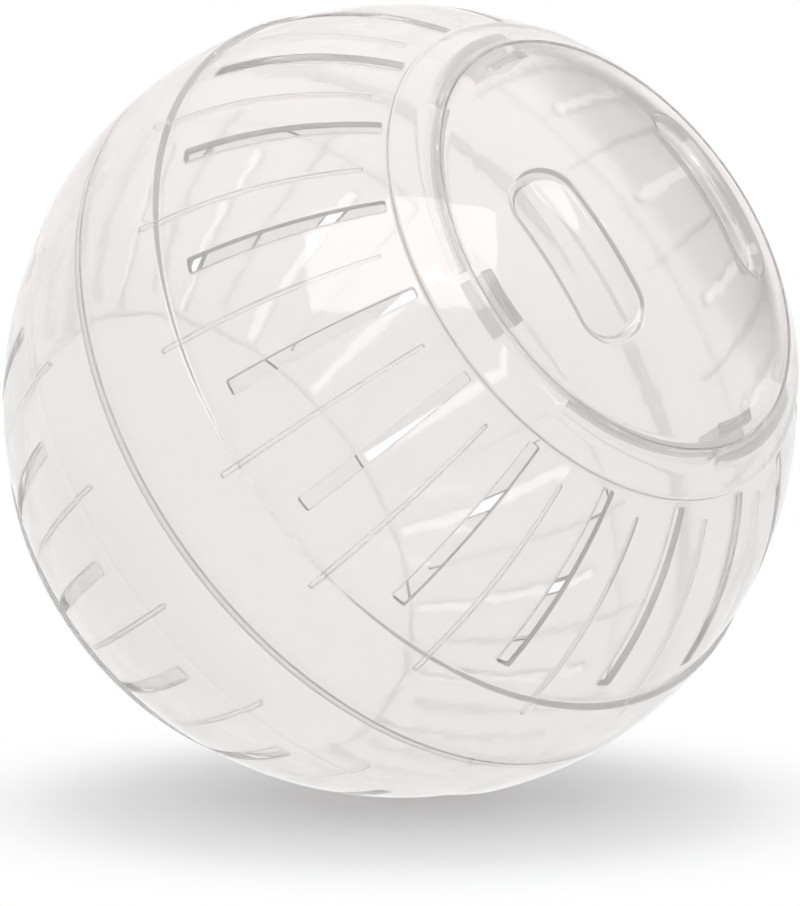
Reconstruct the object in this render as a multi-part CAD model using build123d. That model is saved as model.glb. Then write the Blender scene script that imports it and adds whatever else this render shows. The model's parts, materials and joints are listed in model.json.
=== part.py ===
from build123d import *
import math
import os

os.makedirs("parts", exist_ok=True)

# Clear two-piece exercise ball with a twist lid. Lengths in mm, angles in degrees.
# Every piece is built in the ball's own frame: +Z along the axis towards the lid, the
# ball's centre at zero. The last step leans the ball back into the attitude it rests in.

# Outline. The collar and the equator band stand proud of the vented zone by one step.
ball_r = 90.0
step_h = 1.0
wall = 1.8
band_half_w = 22.3
collar_w = 10.9
step_run = 0.7

# Vents and stiffening ribs. Each vent is a slot between two meridians.
vent_count = 18
vent_span = 2.35
vent_corner_r = 0.6
vent_collar_gap = 1.4
vent_band_gap = 6.1
rib_span = 0.65
rib_h = 1.2
rib_collar_gap = 6.0
rib_band_lap = 5.1
vent_phase_front = 12.8

# Lap joint between the halves: the front half's tongue enters the rear half.
lap_len = 2.5
rear_lip_t = 1.45
lap_clear = 0.05
lap_end_clear = 0.1
seam_gap = 0.05
key_phase = 344.0
key_count = 2
key_w = 3.0
key_h = 1.0
key_side_clear = 0.15
key_top_clear = 0.1

# Mouth of the front half: a sunk ledge that carries the lid's edge.
mouth_r = 47.6
ledge_w = 2.8
ledge_drop = 1.8
ledge_t = 2.0

# Twist lock: four notches in the ledge, four hooks on the lid that reach under it.
hook_count = 4
hook_span = 16.0
hook_phase = 12.5
hook_w = 2.1
hook_ledge_clear = 0.3
foot_h = 2.2
foot_under_clear = 0.2
foot_tip_clear = 0.3
notch_span = 41.0
notch_lead = 2.0

# Lid: a domed cap that carries on the ball's sphere, with two oblong finger grips sunk in it.
lid_sink = 0.4
lid_side_clear = 0.2
lid_seat_clear = 0.05
lid_wall = 2.0
grip_len = 43.0
grip_w = 17.6
grip_corner_r = 8.6
grip_depth = 3.0
grip_wall = 1.6
grip_reach = 28.0


def along_ball(length):
    # The angle at the ball's centre of a length measured over its surface.
    return math.degrees(length / ball_r)


# Sizes that follow from the ones above. Polar angles are measured from the lid's side.
zone_r = ball_r - step_h
inner_r = zone_r - wall
rabbet_r = mouth_r + ledge_w
rim_h = math.sqrt(ball_r**2 - rabbet_r**2)
rabbet_polar = math.degrees(math.asin(rabbet_r / ball_r))
collar_polar = rabbet_polar + along_ball(collar_w)
band_polar = math.degrees(math.acos(band_half_w / ball_r))
step_slant = along_ball(step_run)
vent_start = collar_polar + step_slant + along_ball(vent_collar_gap)
vent_end = band_polar - step_slant - along_ball(vent_band_gap)
vent_pitch = 360.0 / vent_count
rib_start = collar_polar + along_ball(rib_collar_gap)
rib_end = band_polar + along_ball(rib_band_lap)
ledge_top = rim_h - ledge_drop
ledge_bottom = ledge_top - ledge_t
socket_r = ball_r - rear_lip_t
tongue_outer_r = socket_r - lap_clear
lid_r = rabbet_r - lid_side_clear
lid_bottom = ledge_top + lid_seat_clear
lid_outer_r = ball_r - lid_sink
lid_inner_r = lid_outer_r - lid_wall
hook_outer_r = mouth_r - hook_ledge_clear
hook_inner_r = hook_outer_r - hook_w
foot_tip_r = rabbet_r - foot_tip_clear
foot_top = ledge_bottom - foot_under_clear
foot_bottom = foot_top - foot_h
grip_floor_r = lid_outer_r - grip_depth
notch_mid = hook_phase - hook_span / 2 - notch_lead + notch_span / 2

# The ball leans so that the floor meets the middle of the rear vented zone.
axis_rise = 90.0 - (collar_polar + band_polar) / 2
centre_z = zone_r
front_reach = ball_r * math.cos(math.radians(rabbet_polar - axis_rise))
centre_x = (ball_r - front_reach) / 2


def on_sphere(radius, polar):
    a = math.radians(polar)
    return (radius * math.sin(a), 0, radius * math.cos(a))


def polar_at_h(radius, height):
    return math.degrees(math.acos(height / radius))


def arc(radius, start, end):
    middle = on_sphere(radius, (start + end) / 2)
    return ThreePointArc(on_sphere(radius, start), middle, on_sphere(radius, end))


def revolved(edges, span=360.0, mid=0.0):
    # The profile lies in the XZ plane. A partial turn is centred on the angle mid.
    solid = revolve(Face(Wire(edges)), Axis.Z, revolution_arc=span)
    if span == 360.0:
        return solid
    return Rot(0, 0, mid - span / 2) * solid


def ring_sector(r_low, r_high, h_low, h_high, span=360.0, mid=0.0):
    corners = [(r_low, 0, h_low), (r_high, 0, h_low), (r_high, 0, h_high), (r_low, 0, h_high)]
    return revolved(Polyline(*corners, close=True).edges(), span, mid)


def zone_sector(r_low, r_high, start, end, span, mid):
    edges = [arc(r_low, start, end), Line(on_sphere(r_low, end), on_sphere(r_high, end))]
    edges += [arc(r_high, end, start), Line(on_sphere(r_high, start), on_sphere(r_low, start))]
    return revolved(edges, span, mid)


def vent_cutter():
    low = inner_r - rib_h - 1
    high = ball_r + 1
    blank = zone_sector(low, high, vent_start, vent_end, vent_span, 0)
    radial = [e for e in blank.edges() if e.geom_type == GeomType.LINE]
    return fillet(radial, vent_corner_r)


def rib():
    return zone_sector(inner_r - rib_h, inner_r + wall / 3, rib_start, rib_end, rib_span, 0)


def around(shape, count, phase):
    return [Rot(0, 0, phase + 360.0 / count * k) * shape for k in range(count)]


def outer_edges(end_polar):
    # From the seam to end_polar: band, step down, vented zone, step up, collar.
    points = [
        Line(on_sphere(ball_r, band_polar), on_sphere(zone_r, band_polar - step_slant)),
        Line(on_sphere(zone_r, collar_polar + step_slant), on_sphere(ball_r, collar_polar)),
    ]
    arcs = [
        arc(ball_r, 90, band_polar),
        arc(zone_r, band_polar - step_slant, collar_polar + step_slant),
        arc(ball_r, collar_polar, end_polar),
    ]
    return [arcs[0], points[0], arcs[1], points[1], arcs[2]]


def front_half():
    ledge_meets_wall = polar_at_h(inner_r, ledge_bottom)
    tongue_end = polar_at_h(inner_r, -lap_len)
    corners = [
        (rabbet_r, 0, rim_h),
        (rabbet_r, 0, ledge_top),
        (mouth_r, 0, ledge_top),
        (mouth_r, 0, ledge_bottom),
        on_sphere(inner_r, ledge_meets_wall),
    ]
    tongue = [
        on_sphere(inner_r, tongue_end),
        (tongue_outer_r, 0, -lap_len),
        (tongue_outer_r, 0, 0),
        (ball_r, 0, 0),
    ]
    edges = outer_edges(rabbet_polar) + Polyline(*corners).edges()
    edges += [arc(inner_r, ledge_meets_wall, tongue_end)] + Polyline(*tongue).edges()
    shell = revolved(edges)
    shell += around(rib(), vent_count, vent_phase_front + vent_pitch / 2)
    key_high = tongue_outer_r + key_h
    key_span = math.degrees(key_w / tongue_outer_r)
    key = ring_sector(tongue_outer_r - 0.5, key_high, -lap_len, 0, key_span, 0)
    shell += around(key, key_count, key_phase)
    shell -= around(vent_cutter(), vent_count, vent_phase_front)
    notch = ring_sector(mouth_r - 1, rabbet_r, ledge_bottom - 1, ledge_top, notch_span, 0)
    return shell - around(notch, hook_count, notch_mid)


def rear_half():
    # Built like the front half and then turned over, so its pole is at -Z.
    socket_depth = lap_len + lap_end_clear
    socket_end = polar_at_h(inner_r, socket_depth)
    socket = [
        on_sphere(inner_r, socket_end),
        (socket_r, 0, socket_depth),
        (socket_r, 0, seam_gap),
        (math.sqrt(ball_r**2 - seam_gap**2), 0, seam_gap),
    ]
    outer = outer_edges(0)
    outer[0] = arc(ball_r, polar_at_h(ball_r, seam_gap), band_polar)
    pole = Line(on_sphere(ball_r, 0), on_sphere(inner_r, 0))
    # The inside is drawn as two arcs, so the cap at the pole is a face of its own.
    inner = [arc(inner_r, 0, collar_polar), arc(inner_r, collar_polar, socket_end)]
    edges = outer + [pole] + inner + Polyline(*socket).edges()
    shell = revolved(edges)
    # Turning over about X sends an angle b to -b, so every phase goes in with its sign changed.
    vent_phase_rear = -(vent_phase_front + vent_pitch / 2)
    shell += around(rib(), vent_count, vent_phase_rear + vent_pitch / 2)
    key_room = tongue_outer_r + key_h + key_top_clear
    key_span = math.degrees((key_w + 2 * key_side_clear) / tongue_outer_r)
    room = ring_sector(tongue_outer_r - 1, key_room, 0, socket_depth, key_span, 0)
    shell -= around(room, key_count, -key_phase)
    shell -= around(vent_cutter(), vent_count, vent_phase_rear)
    return Rot(180, 0, 0) * shell


def grip_block(length, width, corner):
    # A post with the grip's outline, standing through the lid at the grip's place.
    outline = RectangleRounded(width, length, corner)
    return Rot(0, along_ball(grip_reach), 0) * Pos(0, 0, hook_inner_r) * extrude(outline, ball_r)


def grip():
    # What is added under the cap for one grip, and what is then cut away over its floor.
    tub_r = grip_corner_r + grip_wall
    tub = grip_block(grip_len + 2 * grip_wall, grip_w + 2 * grip_wall, tub_r)
    tub = tub & Sphere(lid_outer_r - lid_wall / 2)
    tub -= Sphere(grip_floor_r - lid_wall)
    pocket = grip_block(grip_len, grip_w, grip_corner_r) - Sphere(grip_floor_r)
    return tub, pocket


def twist_lid():
    seat_polar = polar_at_h(lid_inner_r, lid_bottom)
    edge_polar = math.degrees(math.asin(lid_r / lid_outer_r))
    seat = [
        on_sphere(lid_outer_r, edge_polar),
        (lid_r, 0, lid_bottom),
        on_sphere(lid_inner_r, seat_polar),
    ]
    pole = Line(on_sphere(lid_inner_r, 0), on_sphere(lid_outer_r, 0))
    edges = [arc(lid_outer_r, 0, edge_polar)] + Polyline(*seat).edges()
    edges += [arc(lid_inner_r, seat_polar, 0), pole]
    lid = revolved(edges)
    # The hook's stem ends inside the cap's wall.
    under_cap = math.sqrt(lid_inner_r**2 - hook_inner_r**2)
    over_cap = math.sqrt(lid_outer_r**2 - hook_outer_r**2)
    stem_top = (under_cap + over_cap) / 2
    stem = ring_sector(hook_inner_r, hook_outer_r, foot_bottom, stem_top, hook_span, 0)
    foot = ring_sector(hook_outer_r - hook_w / 2, foot_tip_r, foot_bottom, foot_top, hook_span, 0)
    lid += around(stem, hook_count, hook_phase)
    lid += around(foot, hook_count, hook_phase)
    # The grips lie on both sides of the pole, their length across the line between them.
    tub, pocket = grip()
    lid += around(tub, 2, hook_phase + 90)
    return lid - around(pocket, 2, hook_phase + 90)


rest = Pos(centre_x, 0, centre_z) * Rot(0, 90 - axis_rise, 0)
pieces = {
    "front_shell": front_half(),
    "rear_shell": rear_half(),
    "lid": twist_lid(),
}
for name, solid in pieces.items():
    placed = rest * solid
    export_step(placed, "parts/" + name + ".step")
    box = placed.bounding_box()
    print(name, "volume", round(placed.volume), "min", box.min, "max", box.max)
print("axis rise", round(axis_rise, 4), "centre height", round(centre_z, 4))
print("rim", round(rim_h, 3), "hook bottom", round(foot_bottom, 3))
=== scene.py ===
import json
import math

import bmesh
import bpy
from bpy.props import FloatProperty, PointerProperty, StringProperty
from mathutils import Matrix, Vector


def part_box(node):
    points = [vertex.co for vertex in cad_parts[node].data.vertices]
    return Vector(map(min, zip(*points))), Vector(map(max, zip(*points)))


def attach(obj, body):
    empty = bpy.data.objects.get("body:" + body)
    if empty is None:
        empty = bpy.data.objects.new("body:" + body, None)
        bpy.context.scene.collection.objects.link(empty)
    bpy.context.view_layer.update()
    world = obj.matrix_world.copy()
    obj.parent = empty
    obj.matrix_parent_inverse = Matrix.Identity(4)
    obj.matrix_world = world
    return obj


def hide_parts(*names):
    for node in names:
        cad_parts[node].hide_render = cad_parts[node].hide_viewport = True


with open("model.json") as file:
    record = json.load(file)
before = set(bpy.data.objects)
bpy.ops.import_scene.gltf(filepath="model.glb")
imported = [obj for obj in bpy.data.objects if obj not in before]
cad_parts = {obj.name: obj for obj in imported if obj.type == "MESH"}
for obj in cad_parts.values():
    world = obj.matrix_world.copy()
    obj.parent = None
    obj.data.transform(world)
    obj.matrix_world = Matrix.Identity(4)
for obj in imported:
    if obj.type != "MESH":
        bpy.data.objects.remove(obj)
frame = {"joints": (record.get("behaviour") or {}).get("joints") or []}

bl_info = {
    "name": "Clear Hamster Ball",
    "version": (1, 0, 0),
    "blender": (4, 5, 0),
    "location": "3D View > Sidebar > Ball",
    "description": "Builds a clear, vented exercise ball with a twist lid around its CAD frame",
    "category": "Add Mesh",
}

MM = 0.001

# Every piece is built in the ball's own frame: the centre at zero, +Z along the axis
# towards the lid. The frame says how the ball leans at rest.
AXIS = Vector(next(j["axis"] for j in frame["joints"] if j["name"] == "lid_lift"))
REAR_LOW, REAR_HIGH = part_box("rear_shell")
BALL_R = (REAR_HIGH.y - REAR_LOW.y) / 2 / MM

# Outline, in mm and degrees.
STEP_H = 1.0
CENTRE = Vector((REAR_LOW.x + BALL_R * MM, 0, REAR_LOW.z + (BALL_R - STEP_H) * MM))
BAND_HALF_W = 22.3
COLLAR_W = 10.9
STEP_RUN = 0.7
LEDGE_W = 2.8
VENT_COUNT = 18
VENT_PITCH = 360 / VENT_COUNT
VENT_COLLAR_GAP = 1.4
VENT_BAND_GAP = 6.1
RIB_COLLAR_GAP = 6.0
RIB_BAND_LAP = 5.1
VENT_PHASE_FRONT = 12.8
VENT_PHASE_REAR = VENT_PHASE_FRONT - VENT_PITCH / 2
MOUTH_R = 47.6
RABBET_R = MOUTH_R + LEDGE_W
RIM_H = math.sqrt(BALL_R ** 2 - RABBET_R ** 2)
LEDGE_TOP = RIM_H - 1.8
LEDGE_BOTTOM = LEDGE_TOP - 2.0
NOTCH_SPAN = 41.0
NOTCH_MID = 23.0
LAP_LEN = 2.5
SOCKET_DEPTH = 2.6
SEAM_GAP = 0.05
TONGUE_R = 88.5
SOCKET_R = 88.55
KEY_R = 89.5
KEY_ROOM_R = 89.6
KEY_PHASES = (344.0, 164.0)
KEY_W = 3.0
KEY_ROOM_W = 3.3
HOOK_COUNT = 4
HOOK_SPAN = 16.0
HOOK_PHASE = 12.5
HOOK_OUTER_R = 47.3
HOOK_INNER_R = 45.2
FOOT_TIP_R = 50.1
FOOT_TOP = LEDGE_BOTTOM - 0.2
FOOT_BOTTOM = FOOT_TOP - 2.2
LID_R = 50.2
LID_SPHERE_R = BALL_R - 0.4
LID_BOTTOM = LEDGE_TOP + 0.05
LID_WALL = 2.0
GRIP_REACH = 28.0
# The lid's cap is a patch of its own inside the hooks, bridged to the ring round it.
CAP_INSET = 1.2
CAP_BRIDGE = 0.8
CAP_CELLS = 108
# Share of the grip's depth that its soft side already has at the outline.
GRIP_SOFT_SHARE = 0.35
# Degrees between the rows and meridians of a skin, and the gap under which two are one.
SKIN_STEP = 2.0
SAME_MERIDIAN = 0.15
# The angle that makes an edge sharp.
SHARP = math.radians(45)

# Figures of the plastic: polystyrene's IOR, the swells' width and height in mm, and the
# roughness and clearness of the unpolished places.
PLASTIC_IOR = 1.59
SWELL_W = 14.0
SWELL_H = 0.10
DULL_ROUGHNESS = 0.3
DULL_CLEARNESS = 0.35

# Camera and floor, in metres. The shadow runs out between the two radii of its fade.
VIEW_AZIMUTH = math.radians(41.6)
VIEW_ELEVATION = math.radians(6.7)
LENS = 237.0
CAMERA_BACK = 1.3395
CAMERA_DROP = 0.0117
FLOOR_R = 4.0
SHADOW_OFFSET = 0.018
SHADOW_FADE = (0.06, 0.13)

# The light tent as the plastic sees it; the camera itself sees plain white. Its strength,
# its warmth, how much brighter its top is, and its dark corner.
TENT = 1.03
TENT_WARMTH = (1.02, 1.0, 0.99)
TENT_TOP = 1.35
TENT_TOP_FADE = (0.3, 0.9)
CORNER_TONE = 0.1
CORNER_RISE = 0.66
CORNER_FADE = (0.86, 0.95)
LIGHT_TURNS = 48


def rgb(hex_code):
    """An sRGB hex code as linear red, green, blue and alpha."""
    parts = [int(hex_code.lstrip("#")[i:i + 2], 16) / 255 for i in (0, 2, 4)]
    linear = [c / 12.92 if c <= 0.04045 else ((c + 0.055) / 1.055) ** 2.4 for c in parts]
    return (*linear, 1.0)


class BallSizes(bpy.types.PropertyGroup):
    """Sizes that a user would change."""

    wall: FloatProperty(
        name="Wall", description="Thickness of the vented wall, in mm",
        default=1.8, min=1.0, max=3.0)
    edge_round: FloatProperty(
        name="Edge rounding", description="Radius left on the mould's edges, in mm",
        default=0.35, min=0.05, max=0.4)
    step_round: FloatProperty(
        name="Step rounding", description="Radius on the edges of collar and band, in mm",
        default=0.5, min=0.2, max=0.6)
    vent_span: FloatProperty(
        name="Vent width", description="Angle between a vent's two long sides",
        default=math.radians(2.35), min=math.radians(1), max=math.radians(5), subtype="ANGLE")
    vent_corner: FloatProperty(
        name="Vent corner", description="Radius of a vent's corners, in mm",
        default=0.6, min=0.1, max=1.0)
    rib_span: FloatProperty(
        name="Rib width", description="Angle between a rib's two sides",
        default=math.radians(0.65), min=math.radians(0.4), max=math.radians(2), subtype="ANGLE")
    rib_h: FloatProperty(
        name="Rib height", description="How far a rib stands in from the wall, in mm",
        default=1.2, min=0.5, max=2.0)
    grip_len: FloatProperty(
        name="Grip length", description="Length of one finger grip in the lid, in mm",
        default=43.0, min=30.0, max=46.0)
    grip_w: FloatProperty(
        name="Grip width", description="Width of one finger grip, in mm",
        default=17.6, min=12.0, max=20.0)
    grip_corner: FloatProperty(
        name="Grip corner", description="Corner radius of a finger grip, in mm",
        default=8.6, min=3.0, max=8.8)
    grip_depth: FloatProperty(
        name="Grip depth", description="How deep a finger grip is sunk, in mm",
        default=3.0, min=1.0, max=4.0)
    grip_run: FloatProperty(
        name="Grip wall run", description="How far the steep wall of a grip leans in, in mm",
        default=2.2, min=2.0, max=4.0)


class BallFinish(bpy.types.PropertyGroup):
    """Colours and surface of the plastic and the stage."""

    tint: StringProperty(
        name="Plastic tint", description="Hex colour that one wall gives the light",
        default="#FFFDFC")
    floor: StringProperty(
        name="Floor", description="Hex colour of the studio floor", default="#F8F9FA")
    gloss: FloatProperty(
        name="Plastic roughness", description="Roughness of the polished mould's surface",
        default=0.06, min=0.0, max=1.0, subtype="FACTOR")
    clearness: FloatProperty(
        name="Clearness", description="Share of the light that passes a surface unscattered",
        default=0.78, min=0.0, max=1.0, subtype="FACTOR")


# Mesh tools.

def on_sphere(radius, polar):
    """Distance from the axis and height of a point on a sphere round the centre, in mm."""
    a = math.radians(polar)
    return radius * math.sin(a), radius * math.cos(a)


def polar_at_h(radius, height):
    return math.degrees(math.acos(height / radius))


def along_ball(length):
    return math.degrees(length / BALL_R)


class Pen:
    """Draws a profile in the XZ plane, edge by edge, from one vertex."""

    def __init__(self, bm, r, h):
        self.bm = bm
        self.first = self.tip = bm.verts.new((r * MM, 0, h * MM))

    def line(self, r, h):
        drawn = bmesh.ops.extrude_vert_indiv(self.bm, verts=[self.tip])
        self.tip = drawn["verts"][0]
        self.tip.co = (r * MM, 0, h * MM)

    def arc(self, *polars):
        """Over a sphere round the centre, with a vertex at each of these polar angles."""
        for polar in polars:
            now = math.degrees(math.atan2(self.tip.co.x, self.tip.co.z))
            turn = polar - now
            drawn = bmesh.ops.spin(
                self.bm, geom=[self.tip], axis=(0, 1, 0), cent=(0, 0, 0),
                angle=math.radians(turn), steps=max(1, round(abs(turn) / SKIN_STEP)))
            self.tip = drawn["geom_last"][0]

    def close(self):
        self.bm.edges.new((self.tip, self.first))


def azimuth(co):
    return math.degrees(math.atan2(co.y, co.x)) % 360


def off_mid(co, mid):
    """Degrees round the axis from the meridian mid to a point."""
    return (azimuth(co) - mid + 180) % 360 - 180


def middle(element):
    return sum((v.co for v in element.verts), Vector()) / len(element.verts)


def spin_round(bm, breaks):
    """Spins the drawn profile once round the axis, with a meridian at each of breaks."""
    stops = []
    for stop in sorted(b % 360 for b in breaks):
        if not stops or stop - stops[-1] > SAME_MERIDIAN:
            stops.append(stop)
    start = stops[0]
    bmesh.ops.rotate(
        bm, verts=bm.verts, cent=(0, 0, 0),
        matrix=Matrix.Rotation(math.radians(start), 3, "Z"))
    last = bm.verts[:] + bm.edges[:]
    for low, high in zip(stops, stops[1:] + [start + 360]):
        drawn = bmesh.ops.spin(
            bm, geom=last, axis=(0, 0, 1), cent=(0, 0, 0), angle=math.radians(high - low),
            steps=max(1, round((high - low) / SKIN_STEP)))
        last = drawn["geom_last"]
    bmesh.ops.remove_doubles(bm, verts=bm.verts, dist=1e-6)


def at(co, row):
    """Whether a point lies on a row, given as distance from the axis and height in mm."""
    return math.hypot(math.hypot(co.x, co.y) - row[0] * MM, co.z - row[1] * MM) < 5e-6


def row_edges(bm, row, mid, span):
    return [
        e for e in bm.edges
        if all(at(v.co, row) for v in e.verts) and abs(off_mid(middle(e), mid)) < span / 2]


def lead_over(bm, mid, span, old, new):
    """Between two meridians the skin over the rows old is taken away and led over new."""
    open_before = {e for e in bm.edges if e.is_boundary}
    skin = [
        f for f in bm.faces
        if all(any(at(v.co, row) for row in old) for v in f.verts)
        and abs(off_mid(middle(f), mid)) < span / 2]
    bmesh.ops.delete(bm, geom=skin, context="FACES")
    edges = row_edges(bm, old[0], mid, span)
    here = old[0]
    for row in new:
        drawn = bmesh.ops.extrude_edge_only(bm, edges=edges)["geom"]
        verts = [g for g in drawn if isinstance(g, bmesh.types.BMVert)]
        edges = [
            g for g in drawn
            if isinstance(g, bmesh.types.BMEdge) and all(v in verts for v in g.verts)]
        widen = row[0] / here[0]
        move = Matrix.Translation((0, 0, (row[1] - here[1]) * MM))
        bmesh.ops.transform(
            bm, verts=verts, matrix=move @ Matrix.Diagonal((widen, widen, 1, 1)))
        here = row
    bmesh.ops.bridge_loops(bm, edges=edges + row_edges(bm, old[-1], mid, span))
    ends = [e for e in bm.edges if e.is_boundary and e not in open_before]
    bmesh.ops.holes_fill(bm, edges=ends, sides=0)


def strip_faces(bm, span, phase, start, end):
    """The faces of all vents or all ribs: strips round the ball, between two polar angles."""
    found = []
    for f in bm.faces:
        co = middle(f)
        off = (azimuth(co) - phase + VENT_PITCH / 2) % VENT_PITCH - VENT_PITCH / 2
        polar = math.degrees(math.atan2(math.hypot(co.x, co.y), co.z))
        if abs(off) < math.degrees(span) / 2 and start < polar < end:
            found.append(f)
    return found


def cut_vents(bm, sizes, phase, start, end):
    """Cuts the vents through both skins and walls their sides."""
    skin = strip_faces(bm, sizes.vent_span, phase, start, end)
    bmesh.ops.delete(bm, geom=skin, context="FACES")
    loops = {}
    for e in bm.edges:
        if e.is_boundary:
            key = round((azimuth(middle(e)) - phase) / VENT_PITCH) % VENT_COUNT
            loops.setdefault(key, []).append(e)
    sides = []
    for edges in loops.values():
        sides += bmesh.ops.bridge_loops(bm, edges=edges)["faces"]
    side_set = set(sides)
    corners = [
        e for e in {e for f in sides for e in f.edges}
        if all(f in side_set for f in e.link_faces) and e.calc_face_angle() > 1.0]
    bmesh.ops.bevel(
        bm, geom=corners, offset=sizes.vent_corner * MM, offset_type="OFFSET",
        affect="EDGES", segments=3, profile=0.5, material=-1, clamp_overlap=True)


def raise_ribs(bm, sizes, phase, start, end, inner_r):
    """Draws the ribs in from the inner skin."""
    strips = strip_faces(bm, sizes.rib_span, phase, start, end)
    skin = [f for f in strips if middle(f).length < (inner_r + sizes.wall / 2) * MM]
    drawn = bmesh.ops.extrude_face_region(bm, geom=skin)["geom"]
    tops = [g for g in drawn if isinstance(g, bmesh.types.BMVert)]
    shrink = (inner_r - sizes.rib_h) / inner_r
    bmesh.ops.scale(bm, verts=tops, vec=(shrink,) * 3)
    bmesh.ops.delete(bm, geom=skin, context="FACES")


def weigh_edges(bm, sizes, steps):
    """Marks every sharp edge for its rounding, the raised steps' edges for the wider one."""
    weight = bm.edges.layers.float.new("bevel_weight_edge")
    for e in bm.edges:
        if e.calc_face_angle(0) > SHARP:
            wide = any(all(at(v.co, row) for v in e.verts) for row in steps)
            e[weight] = 1.0 if wide else sizes.edge_round / sizes.step_round


def finish_piece(bm, name, body, node, material, sizes, steps=(), flip=False):
    """Leans the piece into its place at rest and makes it an object of the frame."""
    weigh_edges(bm, sizes, steps)
    if flip:
        bmesh.ops.scale(bm, verts=bm.verts, vec=(1, 1, -1))
    bmesh.ops.recalc_face_normals(bm, faces=bm.faces)
    lean = math.pi / 2 - math.atan2(AXIS.z, AXIS.x)
    rest = Matrix.Translation(CENTRE) @ Matrix.Rotation(lean, 4, "Y")
    bmesh.ops.transform(bm, verts=bm.verts, matrix=rest)
    open_edges = [e for e in bm.edges if not e.is_manifold]
    if open_edges:
        raise RuntimeError(name + " has " + str(len(open_edges)) + " open or doubled edges")
    mesh = bpy.data.meshes.new(name)
    bm.to_mesh(mesh)
    bm.free()
    for polygon in mesh.polygons:
        polygon.use_smooth = True
    piece = bpy.data.objects.new(name, mesh)
    bpy.context.scene.collection.objects.link(piece)
    mesh.materials.append(material)
    edge = piece.modifiers.new("mould edge", "BEVEL")
    edge.limit_method = "WEIGHT"
    edge.width = sizes.step_round * MM
    edge.segments = 2
    edge.harden_normals = True
    edge.use_clamp_overlap = False
    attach(piece, body)
    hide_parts(node)
    return piece


# Materials.

def node(tree, kind, links=(), **settings):
    """Adds a node with its settings, and links sockets to its inputs by name."""
    made = tree.nodes.new(kind)
    for key, value in settings.items():
        if key.startswith("in_"):
            made.inputs[key[3:].replace("_", " ")].default_value = value
        else:
            setattr(made, key, value)
    for target, source in links:
        tree.links.new(source, made.inputs[target])
    return made


def clear_polystyrene(finish):
    """Clear moulded polystyrene, polished mould: hard, glassy, a faint warm tint in two walls."""
    name = "Clear moulded polystyrene"
    if name in bpy.data.materials:
        return bpy.data.materials[name]
    material = bpy.data.materials.new(name)
    material.use_nodes = True
    tree = material.node_tree
    shader = tree.nodes["Principled BSDF"]
    shader.inputs["Base Color"].default_value = rgb(finish.tint)
    shader.inputs["IOR"].default_value = PLASTIC_IOR
    place = node(tree, "ShaderNodeTexCoord")
    # The hooks and the ledge come off a core that isn't polished: duller than the skins.
    # They are the plastic between the feet and the ledge's top, inside the lid's edge.
    from_centre = node(
        tree, "ShaderNodeVectorMath", [(0, place.outputs["Object"])], operation="SUBTRACT")
    from_centre.inputs[1].default_value = CENTRE
    high = node(
        tree, "ShaderNodeVectorMath", [(0, from_centre.outputs["Vector"])],
        operation="DOT_PRODUCT")
    high.inputs[1].default_value = AXIS
    aside = node(
        tree, "ShaderNodeVectorMath", [(0, from_centre.outputs["Vector"])],
        operation="CROSS_PRODUCT")
    aside.inputs[1].default_value = AXIS
    out_r = node(
        tree, "ShaderNodeVectorMath", [(0, aside.outputs["Vector"])], operation="LENGTH")
    at_hooks = node(tree, "ShaderNodeMath", [(0, high.outputs["Value"])], operation="COMPARE")
    at_hooks.inputs[1].default_value = (FOOT_BOTTOM + LEDGE_TOP) / 2 * MM
    at_hooks.inputs[2].default_value = ((LEDGE_TOP - FOOT_BOTTOM) / 2 + 0.02) * MM
    in_mouth = node(
        tree, "ShaderNodeMath", [(0, out_r.outputs["Value"])], operation="LESS_THAN")
    in_mouth.inputs[1].default_value = LID_R * MM
    dull = node(
        tree, "ShaderNodeMath", [(0, at_hooks.outputs[0]), (1, in_mouth.outputs[0])],
        operation="MULTIPLY")
    for socket, polished, unpolished in (
            ("Roughness", finish.gloss, DULL_ROUGHNESS),
            ("Transmission Weight", finish.clearness, DULL_CLEARNESS)):
        level = node(
            tree, "ShaderNodeMapRange", [("Value", dull.outputs[0])],
            in_To_Min=polished, in_To_Max=unpolished)
        tree.links.new(level.outputs["Result"], shader.inputs[socket])
    # Plastic that cools against the mould is never dead flat: wide, very low swells.
    swell = node(
        tree, "ShaderNodeTexNoise", [("Vector", place.outputs["Object"])],
        in_Scale=1 / (SWELL_W * MM), in_Detail=2.0, in_Roughness=0.5)
    bump = node(
        tree, "ShaderNodeBump", [("Height", swell.outputs["Fac"])],
        in_Strength=1.0, in_Distance=SWELL_H * MM)
    tree.links.new(bump.outputs["Normal"], shader.inputs["Normal"])
    return material


# Pieces.

class ShellRows:
    """The rows that both halves share, as polar angles from the lid's side."""

    def __init__(self, sizes):
        self.zone_r = BALL_R - STEP_H
        self.inner_r = self.zone_r - sizes.wall
        self.collar = math.degrees(math.asin(RABBET_R / BALL_R)) + along_ball(COLLAR_W)
        self.band = math.degrees(math.acos(BAND_HALF_W / BALL_R))
        slant = along_ball(STEP_RUN)
        self.zone_start = self.collar + slant
        self.zone_end = self.band - slant
        self.vent_start = self.zone_start + along_ball(VENT_COLLAR_GAP)
        self.vent_end = self.zone_end - along_ball(VENT_BAND_GAP)
        self.rib_start = self.collar + along_ball(RIB_COLLAR_GAP)
        self.rib_end = self.band + along_ball(RIB_BAND_LAP)
        self.steps = [on_sphere(BALL_R, self.collar), on_sphere(BALL_R, self.band)]

    def draw_outside(self, pen, seam):
        pen.arc(self.collar)
        pen.line(*on_sphere(self.zone_r, self.zone_start))
        pen.arc(self.vent_start, self.rib_start, self.vent_end, self.zone_end)
        pen.line(*on_sphere(BALL_R, self.band))
        pen.arc(seam)


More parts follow.
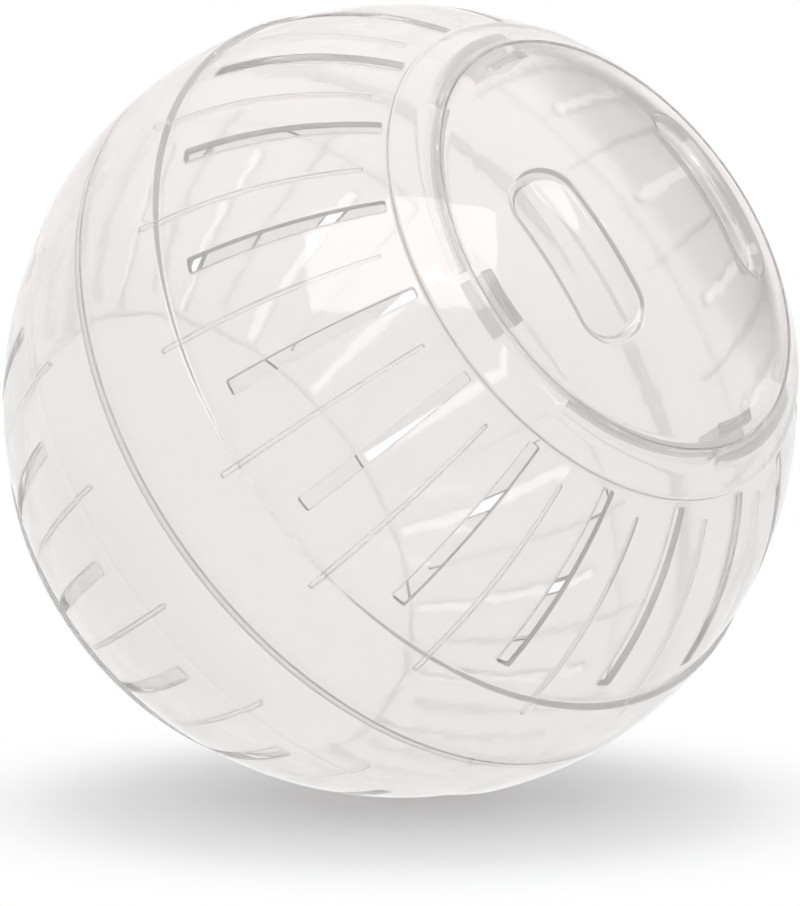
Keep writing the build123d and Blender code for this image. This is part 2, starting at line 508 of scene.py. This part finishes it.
def shell_breaks(sizes, vent_phase, key_w):
    """Meridians that a vent, rib or key needs, in degrees."""
    vent = math.degrees(sizes.vent_span) / 2
    rib = math.degrees(sizes.rib_span) / 2
    breaks = []
    for k in range(VENT_COUNT):
        mid = vent_phase + k * VENT_PITCH
        breaks += [mid - vent, mid + vent]
        breaks += [mid + VENT_PITCH / 2 - rib, mid + VENT_PITCH / 2 + rib]
    key = math.degrees(key_w / TONGUE_R) / 2
    for phase in KEY_PHASES:
        breaks += [phase - key, phase + key]
    return breaks


class BALL_OT_front_half(bpy.types.Operator):
    """Builds the half with the mouth, in clear plastic"""

    bl_idname = "ball.front_half"
    bl_label = "Front half"

    def execute(self, context):
        sizes = context.scene.ball_sizes
        rows = ShellRows(sizes)
        wall_foot = on_sphere(rows.inner_r, polar_at_h(rows.inner_r, LEDGE_BOTTOM))
        bm = bmesh.new()
        pen = Pen(bm, RABBET_R, RIM_H)
        rows.draw_outside(pen, 90)
        pen.line(KEY_R, 0)
        pen.line(TONGUE_R, 0)
        pen.line(TONGUE_R, -LAP_LEN)
        pen.line(*on_sphere(rows.inner_r, polar_at_h(rows.inner_r, -LAP_LEN)))
        pen.arc(
            rows.rib_end, rows.vent_end, rows.rib_start, rows.vent_start,
            polar_at_h(rows.inner_r, LEDGE_BOTTOM))
        pen.line(MOUTH_R, LEDGE_BOTTOM)
        pen.line(MOUTH_R, LEDGE_TOP)
        pen.line(RABBET_R, LEDGE_TOP)
        pen.close()
        notch_mids = [NOTCH_MID + 360 / HOOK_COUNT * k for k in range(HOOK_COUNT)]
        breaks = shell_breaks(sizes, VENT_PHASE_FRONT, KEY_W)
        for mid in notch_mids:
            breaks += [mid - NOTCH_SPAN / 2, mid + NOTCH_SPAN / 2]
        spin_round(bm, breaks)
        ledge = [(RABBET_R, LEDGE_TOP), (MOUTH_R, LEDGE_TOP), (MOUTH_R, LEDGE_BOTTOM), wall_foot]
        for mid in notch_mids:
            lead_over(bm, mid, NOTCH_SPAN, ledge, [])
        lap = [(KEY_R, 0), (TONGUE_R, 0), (TONGUE_R, -LAP_LEN)]
        for phase in KEY_PHASES:
            lead_over(bm, phase, math.degrees(KEY_W / TONGUE_R), lap, [(KEY_R, -LAP_LEN)])
        cut_vents(bm, sizes, VENT_PHASE_FRONT, rows.vent_start, rows.vent_end)
        raise_ribs(
            bm, sizes, VENT_PHASE_FRONT + VENT_PITCH / 2, rows.rib_start, rows.rib_end,
            rows.inner_r)
        finish_piece(
            bm, "front_half_shell", "front_half", "front_shell",
            clear_polystyrene(context.scene.ball_finish), sizes, rows.steps)
        return {"FINISHED"}


class BALL_OT_rear_half(bpy.types.Operator):
    """Builds the half with the closed pole, in clear plastic"""

    bl_idname = "ball.rear_half"
    bl_label = "Rear half"

    def execute(self, context):
        sizes = context.scene.ball_sizes
        rows = ShellRows(sizes)
        bm = bmesh.new()
        pen = Pen(bm, 0, BALL_R)
        rows.draw_outside(pen, polar_at_h(BALL_R, SEAM_GAP))
        pen.line(KEY_ROOM_R, SEAM_GAP)
        pen.line(SOCKET_R, SEAM_GAP)
        pen.line(SOCKET_R, SOCKET_DEPTH)
        pen.line(*on_sphere(rows.inner_r, polar_at_h(rows.inner_r, SOCKET_DEPTH)))
        pen.arc(rows.rib_end, rows.vent_end, rows.rib_start, rows.vent_start, rows.collar, 0)
        spin_round(bm, shell_breaks(sizes, VENT_PHASE_REAR, KEY_ROOM_W))
        lap = [(KEY_ROOM_R, SEAM_GAP), (SOCKET_R, SEAM_GAP), (SOCKET_R, SOCKET_DEPTH)]
        for phase in KEY_PHASES:
            lead_over(
                bm, phase, math.degrees(KEY_ROOM_W / TONGUE_R), lap,
                [(KEY_ROOM_R, SOCKET_DEPTH)])
        cut_vents(bm, sizes, VENT_PHASE_REAR, rows.vent_start, rows.vent_end)
        raise_ribs(
            bm, sizes, VENT_PHASE_REAR + VENT_PITCH / 2, rows.rib_start, rows.rib_end,
            rows.inner_r)
        finish_piece(
            bm, "rear_half_shell", "rear_half", "rear_shell",
            clear_polystyrene(context.scene.ball_finish), sizes, rows.steps, flip=True)
        return {"FINISHED"}


def ease(t):
    """From 0 to 1 with a soft start and a soft end."""
    return (1 - math.cos(math.pi * min(max(t, 0), 1))) / 2


def grip_place(co, side):
    """A point of the cap laid flat over one grip: x away from the pole, y along the grip."""
    turn = Matrix.Rotation(math.radians(-HOOK_PHASE - 90 - 180 * side), 3, "Z")
    tip = Matrix.Rotation(math.radians(-along_ball(GRIP_REACH)), 3, "Y")
    flat = tip @ turn @ (co.normalized() * LID_SPHERE_R)
    return (flat.x, flat.y) if flat.z > 0 else (1e3, 1e3)


def off_outline(sizes, x, y):
    """Distance in mm from a grip's outline, negative inside it."""
    out_x = abs(x) - sizes.grip_w / 2 + sizes.grip_corner
    out_y = abs(y) - sizes.grip_len / 2 + sizes.grip_corner
    outside = math.hypot(max(out_x, 0), max(out_y, 0))
    return outside + min(max(out_x, out_y), 0) - sizes.grip_corner


def close_cap(bm, rim, radius, polar):
    """Closes a ring with a patch of the sphere, its cells along and across the grips."""
    before = set(bm.verts)
    bmesh.ops.create_grid(bm, x_segments=CAP_CELLS, y_segments=CAP_CELLS, size=1)
    patch = [v for v in bm.verts if v not in before]
    for v in patch:
        # From the square to the disc, then over the sphere.
        x = v.co.x * math.sqrt(1 - v.co.y ** 2 / 2)
        y = v.co.y * math.sqrt(1 - v.co.x ** 2 / 2)
        r, h = on_sphere(radius, polar * math.hypot(x, y))
        turn = math.atan2(y, x) + math.radians(HOOK_PHASE)
        v.co = Vector((r * math.cos(turn), r * math.sin(turn), h)) * MM
    inside = set(patch)
    edge = [e for e in bm.edges if e.is_boundary and e.verts[0] in inside]
    bmesh.ops.bridge_loops(bm, edges=rim + edge)


def sink_grips(bm, sizes):
    """Sinks both finger grips, steep on the side away from the pole and soft towards it."""
    # The wall gets cells a quarter as long as the cap's, finest close to it.
    for margin in (1.0, 0.5):
        fine = set()
        for f in bm.faces:
            off_wall = min(
                abs(off_outline(sizes, *grip_place(middle(f), side)) + sizes.grip_run / 2)
                for side in (0, 1))
            if off_wall < sizes.grip_run / 2 + margin:
                fine.update(f.edges)
        cut = bmesh.ops.subdivide_edges(bm, edges=list(fine), cuts=1, use_grid_fill=True)
        for v in {g for g in cut["geom_inner"] if isinstance(g, bmesh.types.BMVert)}:
            outer = v.co.length > (LID_SPHERE_R - LID_WALL / 2) * MM
            v.co = v.co.normalized() * (LID_SPHERE_R - (0 if outer else LID_WALL)) * MM
    for v in bm.verts:
        for side in (0, 1):
            x, y = grip_place(v.co, side)
            wall = ease(-off_outline(sizes, x, y) / sizes.grip_run)
            across = ease((x + sizes.grip_w / 2) / (sizes.grip_w / 2 + 1))
            floor = GRIP_SOFT_SHARE + (1 - GRIP_SOFT_SHARE) * across
            v.co -= v.co.normalized() * sizes.grip_depth * wall * floor * MM


class BALL_OT_twist_lid(bpy.types.Operator):
    """Builds the domed twist lid with its hooks and finger grips, in clear plastic"""

    bl_idname = "ball.twist_lid"
    bl_label = "Twist lid"

    def execute(self, context):
        sizes = context.scene.ball_sizes
        inner_r = LID_SPHERE_R - LID_WALL
        hook_rows = [
            on_sphere(inner_r, math.degrees(math.asin(r / inner_r)))
            for r in (HOOK_OUTER_R, HOOK_INNER_R)]
        cap = math.degrees(math.asin((HOOK_INNER_R - CAP_INSET) / LID_SPHERE_R))
        bm = bmesh.new()
        pen = Pen(bm, *on_sphere(LID_SPHERE_R, cap))
        pen.arc(math.degrees(math.asin(LID_R / LID_SPHERE_R)))
        pen.line(LID_R, LID_BOTTOM)
        pen.line(*on_sphere(inner_r, polar_at_h(inner_r, LID_BOTTOM)))
        pen.arc(*(math.degrees(math.asin(row[0] / inner_r)) for row in hook_rows), cap)
        mids = [HOOK_PHASE + 360 / HOOK_COUNT * k for k in range(HOOK_COUNT)]
        breaks = []
        for mid in mids:
            breaks += [mid - HOOK_SPAN / 2, mid + HOOK_SPAN / 2]
        spin_round(bm, breaks)
        for mid in mids:
            lead_over(bm, mid, HOOK_SPAN, hook_rows, [
                (HOOK_OUTER_R, FOOT_TOP), (FOOT_TIP_R, FOOT_TOP),
                (FOOT_TIP_R, FOOT_BOTTOM), (HOOK_INNER_R, FOOT_BOTTOM)])
        for radius in (LID_SPHERE_R, inner_r):
            rim = row_edges(bm, on_sphere(radius, cap), 0, 720)
            close_cap(bm, rim, radius, cap - CAP_BRIDGE)
        sink_grips(bm, sizes)
        finish_piece(
            bm, "twist_lid", "lid", "lid",
            clear_polystyrene(context.scene.ball_finish), sizes)
        return {"FINISHED"}


# Stage.

class BALL_OT_stage(bpy.types.Operator):
    """Sets up the pale floor, the studio light and the camera"""

    bl_idname = "ball.stage"
    bl_label = "Studio stage"

    def execute(self, context):
        scene = context.scene
        az, el = VIEW_AZIMUTH, VIEW_ELEVATION
        back = Vector((math.sin(az) * math.cos(el), -math.cos(az) * math.cos(el), math.sin(el)))
        right = Vector((math.cos(az), math.sin(az), 0))
        up = back.cross(right)

        lens = bpy.data.cameras.new("Camera")
        lens.lens = LENS
        lens.clip_end = 50
        camera = bpy.data.objects.new("Camera", lens)
        place = Matrix.Translation(CENTRE + back * CAMERA_BACK - up * CAMERA_DROP)
        camera.matrix_world = place @ Matrix((right, up, back)).transposed().to_4x4()
        scene.collection.objects.link(camera)
        scene.camera = camera

        self.make_floor(scene, scene.ball_finish, back)
        self.make_world(scene, right, back)
        # The key draws the bright patch on the vents; the top lamp only lights the floor.
        key = self.add_softbox(
            scene, "Key softbox", back * 0.76 + up * 0.65, distance=0.9, size=(0.8, 0.5),
            power=3.0)
        key.visible_diffuse = False
        top = self.add_softbox(
            scene, "Top softbox", Vector((0, 0, 1)) - back * 0.1, distance=0.8,
            size=(0.45, 0.45), power=0.8)
        top.visible_glossy = False
        return {"FINISHED"}

    def make_floor(self, scene, finish, back):
        bm = bmesh.new()
        bmesh.ops.create_circle(bm, cap_ends=True, segments=96, radius=FLOOR_R)
        mesh = bpy.data.meshes.new("floor")
        bm.to_mesh(mesh)
        bm.free()
        floor = bpy.data.objects.new("floor", mesh)
        scene.collection.objects.link(floor)
        mesh.materials.append(self.floor_material(finish, back))

    def floor_material(self, finish, back):
        """Matt white vinyl that takes the ball's shadow and runs out into plain white."""
        material = bpy.data.materials.new("White studio floor, matt vinyl")
        material.use_nodes = True
        tree = material.node_tree
        matt = tree.nodes["Principled BSDF"]
        matt.inputs["Base Color"].default_value = rgb(finish.floor)
        matt.inputs["Roughness"].default_value = 0.9
        matt.inputs["Specular IOR Level"].default_value = 0.1
        place = node(tree, "ShaderNodeTexCoord")
        reach = node(
            tree, "ShaderNodeVectorMath", [(0, place.outputs["Object"])], operation="DISTANCE")
        reach.inputs[1].default_value = back * SHADOW_OFFSET
        far = node(
            tree, "ShaderNodeMapRange", [("Value", reach.outputs["Value"])],
            interpolation_type="SMOOTHSTEP", in_From_Min=SHADOW_FADE[0],
            in_From_Max=SHADOW_FADE[1])
        # The plastic sees a plain white floor, also where the camera sees the shadow.
        path = node(tree, "ShaderNodeLightPath")
        through = node(
            tree, "ShaderNodeMath", [(1, path.outputs["Is Camera Ray"])], operation="SUBTRACT")
        through.inputs[0].default_value = 1.0
        plain = node(
            tree, "ShaderNodeMath", [(0, far.outputs["Result"]), (1, through.outputs[0])],
            operation="MAXIMUM")
        bright = node(
            tree, "ShaderNodeMath", [(0, path.outputs["Is Camera Ray"])],
            operation="MULTIPLY_ADD")
        bright.inputs[1].default_value = 1 - TENT
        bright.inputs[2].default_value = TENT
        white = node(tree, "ShaderNodeEmission", [("Strength", bright.outputs[0])])
        mixed = node(tree, "ShaderNodeMixShader", [
            (0, plain.outputs[0]), (1, matt.outputs[0]), (2, white.outputs[0])])
        tree.links.new(mixed.outputs[0], tree.nodes["Material Output"].inputs["Surface"])
        return material

    def make_world(self, scene, right, back):
        """A white tent with one dark corner, plain white where the camera sees it itself."""
        world = bpy.data.worlds.new("Light tent")
        scene.world = world
        world.use_nodes = True
        tree = world.node_tree
        tree.nodes.clear()
        out = tree.nodes.new("ShaderNodeOutputWorld")
        place = node(tree, "ShaderNodeTexCoord")
        toward = node(
            tree, "ShaderNodeVectorMath", [(0, place.outputs["Generated"])],
            operation="DOT_PRODUCT")
        # The tent's open corner, behind on the right, draws the dark line under the collar.
        ahead = Vector((-back.x, -back.y, 0)).normalized()
        toward.inputs[1].default_value = (
            ahead + right + Vector((0, 0, CORNER_RISE))).normalized()
        corner = node(
            tree, "ShaderNodeMapRange", [("Value", toward.outputs["Value"])],
            interpolation_type="SMOOTHSTEP", in_From_Min=CORNER_FADE[0],
            in_From_Max=CORNER_FADE[1])
        tone = node(tree, "ShaderNodeMix", [(0, corner.outputs["Result"])], data_type="RGBA")
        tone.inputs["A"].default_value = (*(TENT * c for c in TENT_WARMTH), 1)
        tone.inputs["B"].default_value = (CORNER_TONE, CORNER_TONE, CORNER_TONE, 1)
        # Brighter towards the top, which is what the upper skins mirror.
        split = node(tree, "ShaderNodeSeparateXYZ", [("Vector", place.outputs["Generated"])])
        height = node(
            tree, "ShaderNodeMapRange", [("Value", split.outputs["Z"])],
            interpolation_type="SMOOTHSTEP", in_From_Min=TENT_TOP_FADE[0],
            in_From_Max=TENT_TOP_FADE[1], in_To_Min=1.0, in_To_Max=TENT_TOP)
        path = node(tree, "ShaderNodeLightPath")
        tent = node(tree, "ShaderNodeBackground", [
            ("Color", tone.outputs["Result"]), ("Strength", height.outputs["Result"])])
        white = node(tree, "ShaderNodeBackground", in_Color=(1, 1, 1, 1))
        fill = node(tree, "ShaderNodeBackground", in_Color=(1, 1, 1, 1), in_Strength=TENT)
        seen = node(tree, "ShaderNodeMixShader", [
            (0, path.outputs["Is Camera Ray"]), (1, tent.outputs[0]), (2, white.outputs[0])])
        lit = node(tree, "ShaderNodeMixShader", [
            (0, path.outputs["Diffuse Depth"]), (1, seen.outputs[0]), (2, fill.outputs[0])])
        tree.links.new(lit.outputs[0], out.inputs["Surface"])

    def add_softbox(self, scene, name, direction, distance, size, power):
        """Adds a soft lamp that looks at the ball and doesn't show through it."""
        data = bpy.data.lights.new(name, "AREA")
        data.shape = "RECTANGLE"
        data.size, data.size_y = size
        data.energy = power
        lamp = bpy.data.objects.new(name, data)
        direction = direction.normalized()
        lamp.matrix_world = (
            Matrix.Translation(CENTRE + direction * distance)
            @ direction.to_track_quat("Z", "Y").to_matrix().to_4x4())
        lamp.visible_transmission = False
        scene.collection.objects.link(lamp)
        return lamp


class BALL_PT_pieces(bpy.types.Panel):
    """The ball's pieces and its stage"""

    bl_idname = "BALL_PT_pieces"
    bl_label = "Clear Hamster Ball"
    bl_space_type = "VIEW_3D"
    bl_region_type = "UI"
    bl_category = "Ball"

    def draw(self, context):
        for group in (context.scene.ball_sizes, context.scene.ball_finish):
            for name in group.__annotations__:
                self.layout.prop(group, name)
        for operator in OPERATORS:
            self.layout.operator(operator.bl_idname)


OPERATORS = (BALL_OT_front_half, BALL_OT_rear_half, BALL_OT_twist_lid, BALL_OT_stage)
CLASSES = (BallSizes, BallFinish) + OPERATORS + (BALL_PT_pieces,)


def register():
    for cls in CLASSES:
        bpy.utils.register_class(cls)
    bpy.types.Scene.ball_sizes = PointerProperty(type=BallSizes)
    bpy.types.Scene.ball_finish = PointerProperty(type=BallFinish)


def unregister():
    del bpy.types.Scene.ball_finish
    del bpy.types.Scene.ball_sizes
    for cls in reversed(CLASSES):
        bpy.utils.unregister_class(cls)


def main():
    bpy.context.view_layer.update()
    register()
    scene = bpy.context.scene
    scene.view_settings.view_transform = "Standard"
    # Light is led a long way inside the walls; with fewer turns the vents' sides go dark.
    scene.cycles.max_bounces = LIGHT_TURNS
    scene.cycles.transmission_bounces = LIGHT_TURNS
    scene.cycles.glossy_bounces = LIGHT_TURNS
    scene.cycles.diffuse_bounces = LIGHT_TURNS
    bpy.ops.ball.front_half()
    bpy.ops.ball.rear_half()
    bpy.ops.ball.twist_lid()
    bpy.ops.ball.stage()
    bpy.context.view_layer.update()


if __name__ == "__main__":
    main()
